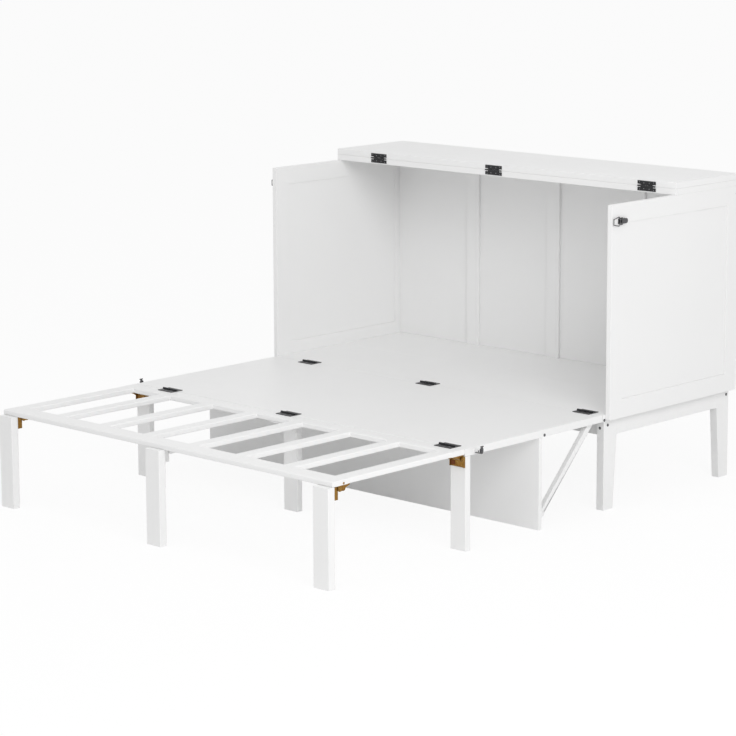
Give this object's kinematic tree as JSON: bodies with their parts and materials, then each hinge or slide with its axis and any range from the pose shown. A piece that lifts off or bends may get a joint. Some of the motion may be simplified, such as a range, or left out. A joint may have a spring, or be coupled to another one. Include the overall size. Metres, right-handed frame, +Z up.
{
  "type": "cabinet wall bed",
  "caption": "White cabinet bed opened out: folded-back lid, drop-down deck, slatted foot end on folding legs and a hinged support board with braces.",
  "frame": {"origin": "on the floor, under the middle of the whole opened bed's box", "axes": "+Z up; +Y from the foot end towards the cabinet's back; +X to the right seen from the foot end"},
  "size_m": [1.6628, 2.099, 1.1153],
  "materials": {
    "white_paint": "satin white paint on board",
    "bed_paint": "satin white paint on board",
    "panel_paint": "satin white paint on board",
    "white_steel": "white coating, satin",
    "black_steel": "black coating, satin",
    "pin_steel": "darkened steel",
    "yellow_zinc": "yellow zinc plating",
    "rivet_zinc": "yellow zinc plating",
    "latch_steel": "dark nickel plating",
    "bolt_steel": "dark steel"
  },
  "bodies": {
    "cabinet": {"side_frame_left": "white_paint", "side_frame_right": "white_paint", "side_inset_left": "panel_paint", "side_inset_right": "panel_paint", "back_panel": "panel_paint", "back_battens": "panel_paint", "floor_front": "white_paint", "floor_rear": "white_paint", "front_apron": "white_paint", "rear_apron": "white_paint", "side_apron_left": "white_paint", "side_apron_right": "white_paint", "base_leg_front_left": "white_paint", "base_leg_front_right": "white_paint", "base_leg_rear_left": "white_paint", "base_leg_rear_right": "white_paint", "rear_top": "white_paint", "lid_hinges_fixed": "black_steel", "deck_hinges_floor": "black_steel", "deck_hinge_pins": "pin_steel", "cabinet_bolts": "bolt_steel", "latch_base_left": "latch_steel", "latch_base_right": "latch_steel"},
    "lid": {"lid_panel": "white_paint", "lid_hinges_moving": "black_steel", "lid_hinge_pins": "pin_steel"},
    "deck": {"deck_panel": "bed_paint", "deck_hinges_deck": "black_steel", "slat_hinges_deck": "black_steel", "slat_hinge_pins": "pin_steel", "board_hinges_deck": "black_steel", "latch_strikes": "latch_steel", "deck_bolts": "bolt_steel", "brace_cleats": "white_paint"},
    "foot_end": {"slat_frame": "bed_paint", "slat_hinges_slat": "black_steel", "leg_plates": "yellow_zinc", "leg_pins": "rivet_zinc"},
    "support": {"support_board": "white_paint", "board_hinges_board": "black_steel", "brace_brackets": "white_steel"},
    "brace_left": {"brace_left": "white_paint"},
    "brace_right": {"brace_right": "white_paint"},
    "foot_leg_left": {"foot_leg_left": "white_paint", "foot_arm_left": "yellow_zinc"},
    "foot_leg_middle": {"foot_leg_middle": "white_paint", "foot_arm_middle": "white_steel"},
    "foot_leg_right": {"foot_leg_right": "white_paint", "foot_arm_right": "yellow_zinc"},
    "mid_leg_left": {"mid_leg_left": "white_paint", "mid_arm_left": "yellow_zinc"},
    "mid_leg_middle": {"mid_leg_middle": "white_paint", "mid_arm_middle": "white_steel"},
    "mid_leg_right": {"mid_leg_right": "white_paint", "mid_arm_right": "yellow_zinc"},
    "latch_lever_left": {"latch_lever_left": "latch_steel"},
    "latch_bail_left": {"latch_bail_left": "latch_steel"},
    "latch_lever_right": {"latch_lever_right": "latch_steel"},
    "latch_bail_right": {"latch_bail_right": "latch_steel"}
  },
  "joints": [
    {"name": "lid_hinge", "type": "hinge", "parent": "cabinet", "child": "lid", "pos_m": [0, 0.6708, 1.0933], "axis": [1, 0, 0], "range_deg": [0, 180]},
    {"name": "deck_hinge", "type": "hinge", "parent": "cabinet", "child": "deck", "pos_m": [0, 0.3035, 0.347], "axis": [-1, 0, 0], "range_deg": [0, 90]},
    {"name": "slat_hinge", "type": "hinge", "parent": "deck", "child": "foot_end", "pos_m": [0, -0.4125, 0.347], "axis": [-1, 0, 0], "range_deg": [0, 180]},
    {"name": "foot_leg_left_fold", "type": "hinge", "parent": "foot_end", "child": "foot_leg_left", "pos_m": [-0.768, -0.9825, 0.311], "axis": [1, 0, 0], "range_deg": [0, 90]},
    {"name": "mid_leg_left_fold", "type": "hinge", "parent": "foot_end", "child": "mid_leg_left", "pos_m": [-0.7685, -0.4205, 0.311], "axis": [-1, 0, 0], "range_deg": [0, 90]},
    {"name": "foot_leg_middle_fold", "type": "hinge", "parent": "foot_end", "child": "foot_leg_middle", "pos_m": [-0.0065, -0.9825, 0.311], "axis": [1, 0, 0], "range_deg": [0, 90]},
    {"name": "mid_leg_middle_fold", "type": "hinge", "parent": "foot_end", "child": "mid_leg_middle", "pos_m": [-0.0065, -0.4205, 0.311], "axis": [-1, 0, 0], "range_deg": [0, 90]},
    {"name": "foot_leg_right_fold", "type": "hinge", "parent": "foot_end", "child": "foot_leg_right", "pos_m": [0.768, -0.9825, 0.311], "axis": [1, 0, 0], "range_deg": [0, 90]},
    {"name": "mid_leg_right_fold", "type": "hinge", "parent": "foot_end", "child": "mid_leg_right", "pos_m": [0.7685, -0.4205, 0.311], "axis": [-1, 0, 0], "range_deg": [0, 90]},
    {"name": "support_fold", "type": "hinge", "parent": "deck", "child": "support", "pos_m": [0, -0.0415, 0.315], "axis": [-1, 0, 0], "range_deg": [0, 90]},
    {"name": "brace_left_fold", "type": "hinge", "parent": "support", "child": "brace_left", "pos_m": [-0.778, -0.0035, 0.05], "axis": [1, 0, 0], "range_deg": [0, 44]},
    {"name": "latch_lever_left_turn", "type": "hinge", "parent": "cabinet", "child": "latch_lever_left", "pos_m": [-0.828, 0.3545, 1.013], "axis": [0, 0, 1], "range_deg": [0, 150]},
    {"name": "latch_bail_left_turn", "type": "hinge", "parent": "latch_lever_left", "child": "latch_bail_left", "pos_m": [-0.828, 0.3645, 1.013], "axis": [0, 0, -1], "range_deg": [0, 150]},
    {"name": "brace_right_fold", "type": "hinge", "parent": "support", "child": "brace_right", "pos_m": [0.778, -0.0035, 0.05], "axis": [1, 0, 0], "range_deg": [0, 44]},
    {"name": "latch_lever_right_turn", "type": "hinge", "parent": "cabinet", "child": "latch_lever_right", "pos_m": [0.828, 0.3545, 1.013], "axis": [0, 0, -1], "range_deg": [0, 150]},
    {"name": "latch_bail_right_turn", "type": "hinge", "parent": "latch_lever_right", "child": "latch_bail_right", "pos_m": [0.828, 0.3645, 1.013], "axis": [0, 0, 1], "range_deg": [0, 150]}
  ],
  "couplings": [
    {"joint": "brace_left_fold", "follows": "support_fold", "ratio": 0.488},
    {"joint": "latch_bail_left_turn", "follows": "latch_lever_left_turn", "ratio": 1},
    {"joint": "brace_right_fold", "follows": "support_fold", "ratio": 0.488},
    {"joint": "latch_bail_right_turn", "follows": "latch_lever_right_turn", "ratio": 1}
  ]
}
